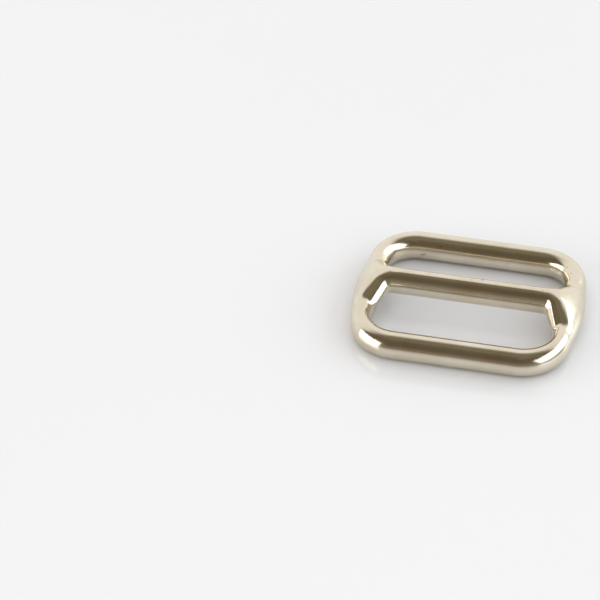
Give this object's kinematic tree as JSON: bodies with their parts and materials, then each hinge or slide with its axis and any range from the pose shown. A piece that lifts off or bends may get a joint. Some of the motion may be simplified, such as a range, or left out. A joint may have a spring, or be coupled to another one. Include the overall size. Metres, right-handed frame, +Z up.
{
  "type": "strap slider buckle",
  "caption": "Small nickel-plated metal strap slider: a rounded rectangular ring of oval rod with a raised centre bar between two equal strap windows.",
  "frame": {"origin": "middle of the slider's outline, on the surface that it lies on", "axes": "+X along the centre bar, +Y from the front window towards the back window, +Z up from the surface"},
  "size_m": [0.0306, 0.0252, 0.0058],
  "materials": {
    "nickel_plate": "bright nickel plate on a polished die casting, slightly warm"
  },
  "bodies": {
    "root": {"frame": "nickel_plate", "centre_bar": "nickel_plate"}
  },
  "joints": []
}
